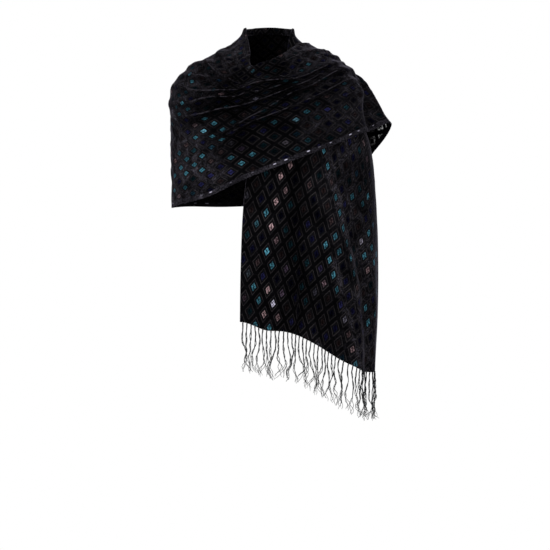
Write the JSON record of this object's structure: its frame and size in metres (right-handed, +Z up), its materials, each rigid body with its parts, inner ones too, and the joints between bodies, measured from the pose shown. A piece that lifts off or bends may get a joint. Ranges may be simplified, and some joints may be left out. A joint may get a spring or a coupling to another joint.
{
  "type": "evening stole",
  "caption": "Long evening stole of patterned velvet with fringed ends, worn wrapped: an end hangs in front and the other is thrown over the shoulder.",
  "frame": {"origin": "midway between the shoulders at the base of the wearer's neck, where the wearer holds the stole up", "axes": "+Z up, -Y the way the wearer faces, +X towards the wearer's left"},
  "size_m": [0.4533, 0.2789, 0.8088],
  "materials": {
    "velvet": "black cut velvet with burnt-out diamonds and coloured metallic threads",
    "fringe_yarn": "twisted dark yarn with a silvery glint"
  },
  "bodies": {
    "root": {"front_end": "velvet", "neck_wrap": "velvet", "chest_wrap": "velvet", "back_end": "velvet", "front_fringe": "fringe_yarn", "back_fringe": "fringe_yarn"}
  },
  "joints": []
}
